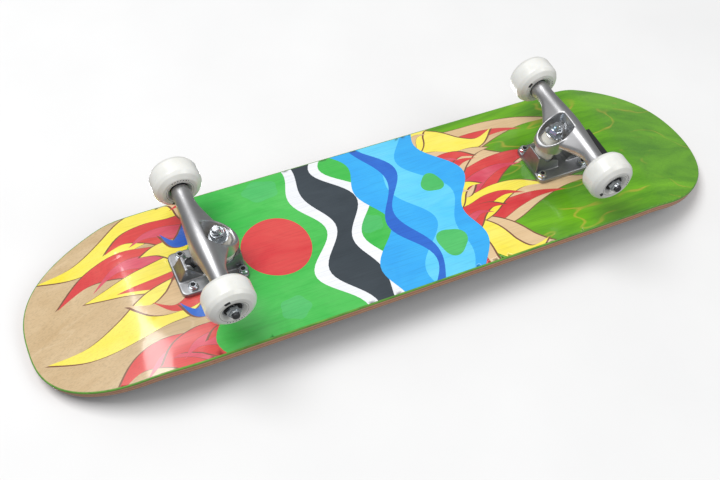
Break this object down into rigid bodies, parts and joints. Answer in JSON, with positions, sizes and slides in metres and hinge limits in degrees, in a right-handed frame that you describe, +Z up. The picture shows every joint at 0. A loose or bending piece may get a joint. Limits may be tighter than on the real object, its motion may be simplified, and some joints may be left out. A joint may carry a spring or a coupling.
{
  "type": "skateboard",
  "caption": "Street skateboard: pressed maple deck with grip tape, kingpin trucks that steer on bushings, and urethane wheels on sealed bearings.",
  "frame": {"origin": "on the ground under the middle of the board's length and width", "axes": "+X towards the nose, +Y to the left of a rider who faces the nose, +Z up with the board standing on its wheels"},
  "size_m": [0.8212, 0.203, 0.1357],
  "materials": {
    "grip": "coarse abrasive sheet",
    "graphic_veneer": "maple veneer with a lacquered printed graphic",
    "maple_core": "raw maple plies, one of them stained",
    "maple_top": "sealed maple veneer",
    "urethane": "cast white urethane",
    "cast_baseplate": "tumbled cast aluminium",
    "cast_hanger": "polished cast aluminium",
    "chromed_steel": "bright zinc plate",
    "bushing_urethane": "cast off-white urethane",
    "pivot_cup": "black urethane",
    "black_steel": "black oxide",
    "bearing_shield": "stamped steel",
    "bearing_steel": "ground bearing steel",
    "plated_steel": "bright zinc plate",
    "steel": "machined steel"
  },
  "bodies": {
    "deck": {"deck_bottom_veneer": "graphic_veneer", "deck_core_plies": "maple_core", "deck_top_veneer": "maple_top", "front_baseplate": "cast_baseplate", "front_boardside_bushing": "bushing_urethane", "front_bushing_washers": "chromed_steel", "front_kingpin": "steel", "front_kingpin_nut": "chromed_steel", "front_mounting_bolts": "black_steel", "front_mounting_nuts": "plated_steel", "front_pivot_cup": "pivot_cup", "front_roadside_bushing": "bushing_urethane", "grip_tape": "grip", "rear_baseplate": "cast_baseplate", "rear_boardside_bushing": "bushing_urethane", "rear_bushing_washers": "chromed_steel", "rear_kingpin": "steel", "rear_kingpin_nut": "chromed_steel", "rear_mounting_bolts": "black_steel", "rear_mounting_nuts": "plated_steel", "rear_pivot_cup": "pivot_cup", "rear_roadside_bushing": "bushing_urethane"},
    "front_hanger_body": {"front_hanger": "cast_hanger", "front_axle": "steel", "front_axle_nuts": "plated_steel", "front_speed_washers": "steel", "front_left_bearing_inner_rings": "bearing_steel", "front_left_bearing_spacer": "steel", "front_right_bearing_inner_rings": "bearing_steel", "front_right_bearing_spacer": "steel"},
    "front_left_wheel_body": {"front_left_wheel": "urethane", "front_left_bearing_outer_rings": "bearing_steel", "front_left_bearing_shields": "bearing_shield"},
    "front_left_ball_body": {"front_left_bearing_balls": "bearing_steel"},
    "front_right_wheel_body": {"front_right_wheel": "urethane", "front_right_bearing_outer_rings": "bearing_steel", "front_right_bearing_shields": "bearing_shield"},
    "front_right_ball_body": {"front_right_bearing_balls": "bearing_steel"},
    "rear_hanger_body": {"rear_hanger": "cast_hanger", "rear_axle": "steel", "rear_axle_nuts": "plated_steel", "rear_speed_washers": "steel", "rear_left_bearing_inner_rings": "bearing_steel", "rear_left_bearing_spacer": "steel", "rear_right_bearing_inner_rings": "bearing_steel", "rear_right_bearing_spacer": "steel"},
    "rear_left_wheel_body": {"rear_left_wheel": "urethane", "rear_left_bearing_outer_rings": "bearing_steel", "rear_left_bearing_shields": "bearing_shield"},
    "rear_left_ball_body": {"rear_left_bearing_balls": "bearing_steel"},
    "rear_right_wheel_body": {"rear_right_wheel": "urethane", "rear_right_bearing_outer_rings": "bearing_steel", "rear_right_bearing_shields": "bearing_shield"},
    "rear_right_ball_body": {"rear_right_bearing_balls": "bearing_steel"}
  },
  "joints": [
    {"name": "front_steer", "type": "hinge", "parent": "deck", "child": "front_hanger_body", "pos_m": [0.19129, 0, 0.045], "axis": [0.8829, 0, 0.4695], "range_deg": [-16, 16], "stiffness_Nm_per_rad": 60, "deforming": ["front_boardside_bushing", "front_roadside_bushing"]},
    {"name": "front_left_wheel_spin", "type": "hinge", "parent": "front_hanger_body", "child": "front_left_wheel_body", "pos_m": [0.21249, 0.0793, 0.026], "axis": [0, 1, 0], "continuous": true},
    {"name": "front_left_ball_orbit", "type": "hinge", "parent": "front_hanger_body", "child": "front_left_ball_body", "pos_m": [0.21249, 0.0793, 0.026], "axis": [0, 1, 0], "continuous": true},
    {"name": "front_right_wheel_spin", "type": "hinge", "parent": "front_hanger_body", "child": "front_right_wheel_body", "pos_m": [0.21249, -0.0793, 0.026], "axis": [0, 1, 0], "continuous": true},
    {"name": "front_right_ball_orbit", "type": "hinge", "parent": "front_hanger_body", "child": "front_right_ball_body", "pos_m": [0.21249, -0.0793, 0.026], "axis": [0, 1, 0], "continuous": true},
    {"name": "rear_steer", "type": "hinge", "parent": "deck", "child": "rear_hanger_body", "pos_m": [-0.20029, 0, 0.045], "axis": [-0.8829, 0, 0.4695], "range_deg": [-16, 16], "stiffness_Nm_per_rad": 60, "deforming": ["rear_boardside_bushing", "rear_roadside_bushing"]},
    {"name": "rear_left_wheel_spin", "type": "hinge", "parent": "rear_hanger_body", "child": "rear_left_wheel_body", "pos_m": [-0.22149, 0.0793, 0.026], "axis": [0, 1, 0], "continuous": true},
    {"name": "rear_left_ball_orbit", "type": "hinge", "parent": "rear_hanger_body", "child": "rear_left_ball_body", "pos_m": [-0.22149, 0.0793, 0.026], "axis": [0, 1, 0], "continuous": true},
    {"name": "rear_right_wheel_spin", "type": "hinge", "parent": "rear_hanger_body", "child": "rear_right_wheel_body", "pos_m": [-0.22149, -0.0793, 0.026], "axis": [0, 1, 0], "continuous": true},
    {"name": "rear_right_ball_orbit", "type": "hinge", "parent": "rear_hanger_body", "child": "rear_right_ball_body", "pos_m": [-0.22149, -0.0793, 0.026], "axis": [0, 1, 0], "continuous": true}
  ],
  "couplings": [
    {"joint": "front_left_ball_orbit", "follows": "front_left_wheel_spin", "ratio": 0.6161},
    {"joint": "front_right_ball_orbit", "follows": "front_right_wheel_spin", "ratio": 0.6161},
    {"joint": "rear_left_ball_orbit", "follows": "rear_left_wheel_spin", "ratio": 0.6161},
    {"joint": "rear_right_ball_orbit", "follows": "rear_right_wheel_spin", "ratio": 0.6161}
  ]
}
